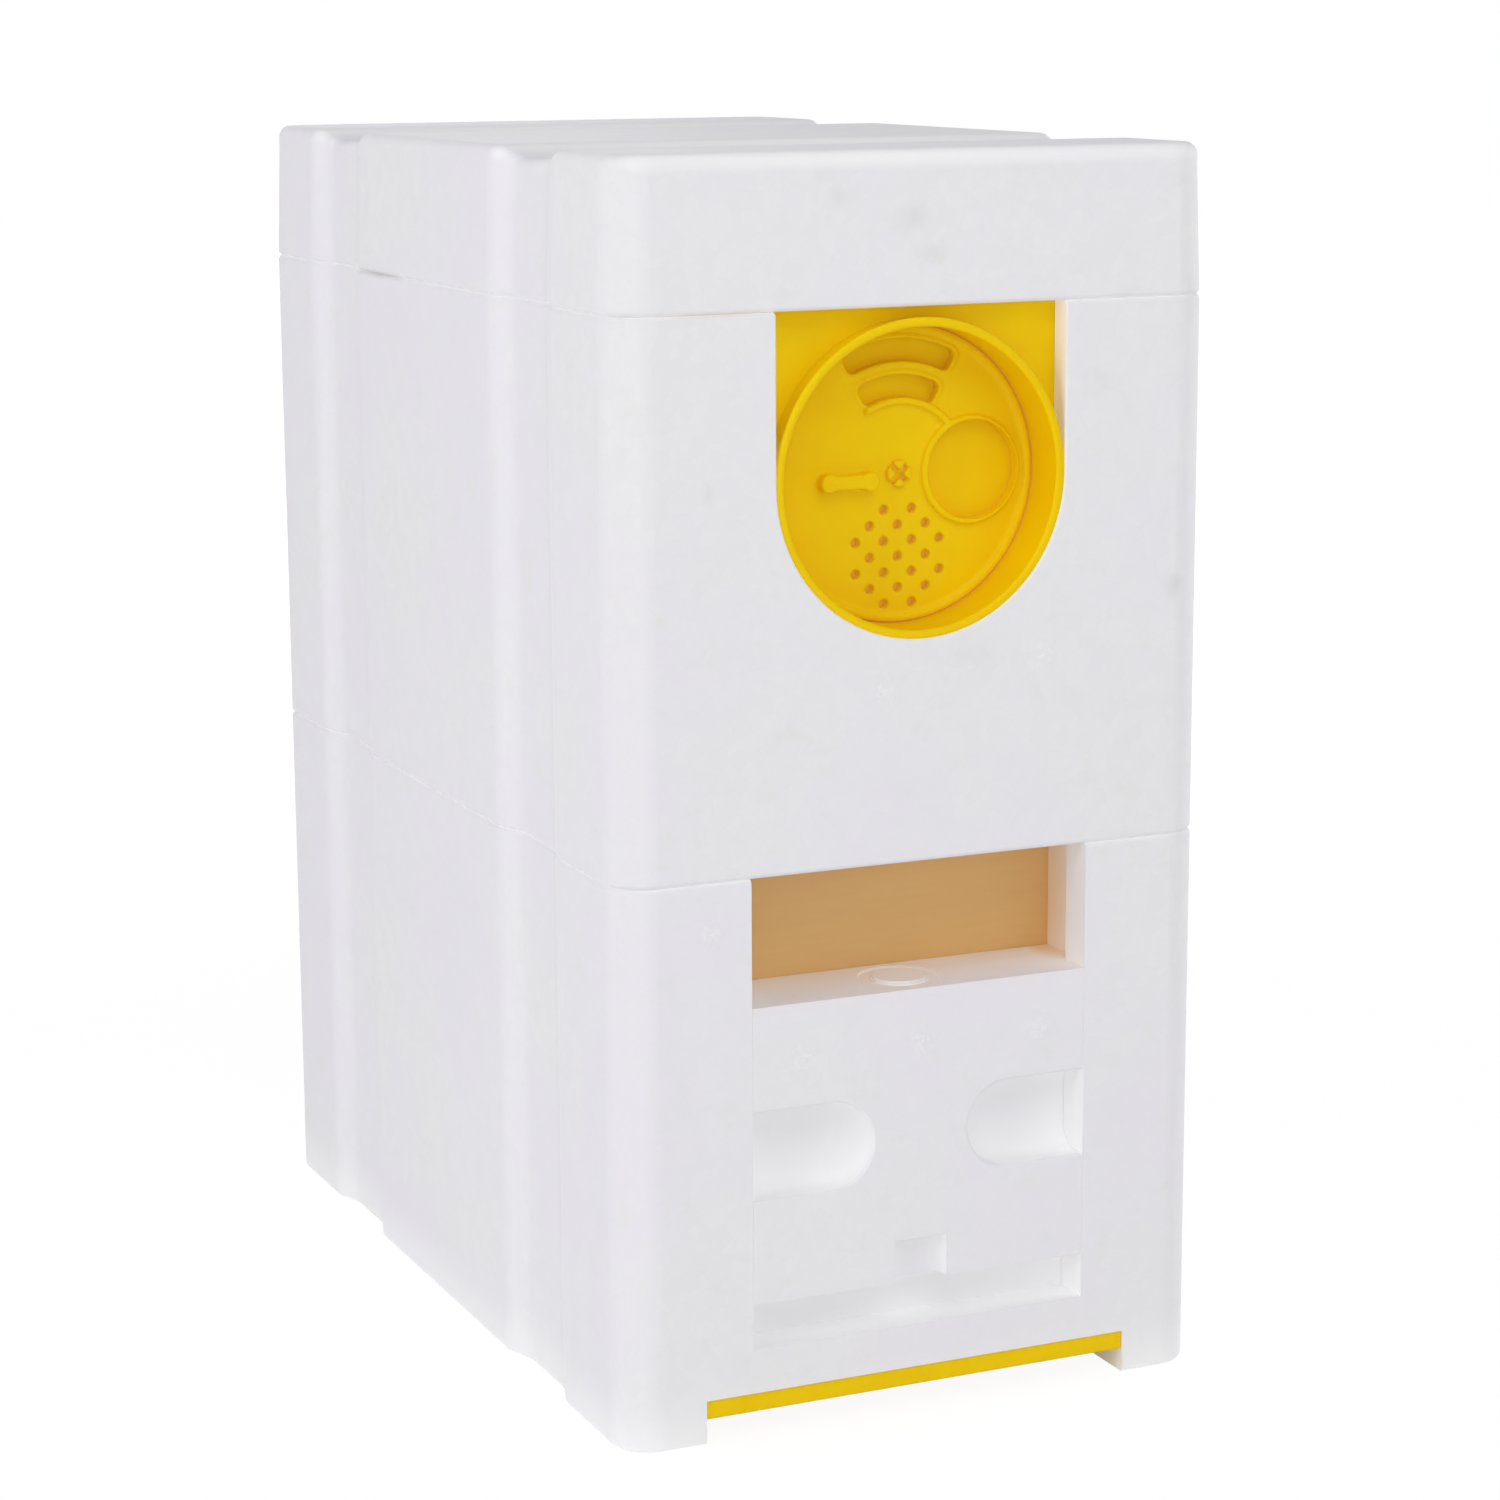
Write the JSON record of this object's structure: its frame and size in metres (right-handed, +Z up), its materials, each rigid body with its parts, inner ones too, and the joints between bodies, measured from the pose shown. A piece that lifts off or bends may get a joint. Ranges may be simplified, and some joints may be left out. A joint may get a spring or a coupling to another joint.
{
  "type": "foam mating hive",
  "caption": "Small two-storey foam mating hive with a lid, strap grooves, rotary entrance disc, sliding front gate, drawn-out floor, feeder, hanging frames and wax foundation.",
  "frame": {"origin": "centre of the base, on the plane that the rails stand on", "axes": "+Z up, -Y towards the front with the entrance, +X to the right of someone facing the front"},
  "size_m": [0.145, 0.24, 0.284],
  "materials": {
    "white_foam": "moulded expanded foam beads, matt",
    "yellow_plastic": "moulded yellow plastic, half gloss",
    "feeder_plastic": "moulded natural plastic, half gloss",
    "frame_plastic": "moulded yellow plastic, matt",
    "wax_sheet": "pressed wax with cell bases",
    "tan_board": "thin board, waxed by use",
    "clear_sheet": "clear sheet"
  },
  "bodies": {
    "lower": {"lower_body": "white_foam", "division_board": "tan_board", "feed_trough": "feeder_plastic", "feed_grid": "feeder_plastic", "lower_frame_1": "frame_plastic", "lower_frame_2": "frame_plastic", "lower_frame_3": "frame_plastic", "lower_frame_4": "frame_plastic", "lower_frame_5": "frame_plastic", "lower_foundation_1": "wax_sheet", "lower_foundation_2": "wax_sheet", "lower_foundation_3": "wax_sheet", "lower_foundation_4": "wax_sheet", "lower_foundation_5": "wax_sheet"},
    "gate": {"front_gate": "white_foam"},
    "floor": {"floor_slide": "yellow_plastic"},
    "upper": {"upper_body": "white_foam", "entrance_plate": "yellow_plastic", "pivot_pin": "yellow_plastic", "inner_cover": "clear_sheet", "upper_frame_1": "frame_plastic", "upper_frame_2": "frame_plastic", "upper_frame_3": "frame_plastic", "upper_frame_4": "frame_plastic", "upper_frame_5": "frame_plastic", "upper_frame_6": "frame_plastic", "upper_foundation_1": "wax_sheet", "upper_foundation_2": "wax_sheet", "upper_foundation_3": "wax_sheet", "upper_foundation_4": "wax_sheet", "upper_foundation_5": "wax_sheet", "upper_foundation_6": "wax_sheet"},
    "disc": {"entrance_disc": "yellow_plastic"},
    "lid": {"lid": "white_foam"}
  },
  "joints": [
    {"name": "gate_slide", "type": "slide", "parent": "lower", "child": "gate", "axis": [0, 0, 1], "range_m": [0, 0.028]},
    {"name": "floor_pull", "type": "slide", "parent": "lower", "child": "floor", "axis": [0, 1, 0], "range_m": [0, 0.22]},
    {"name": "upper_lift", "type": "slide", "parent": "lower", "child": "upper", "axis": [0, 0, 1], "range_m": [0, 0.06]},
    {"name": "lid_lift", "type": "slide", "parent": "upper", "child": "lid", "axis": [0, 0, 1], "range_m": [0, 0.06]},
    {"name": "disc_turn", "type": "hinge", "parent": "upper", "child": "disc", "pos_m": [0, -0.1063, 0.213], "axis": [0, 1, 0], "continuous": true}
  ]
}
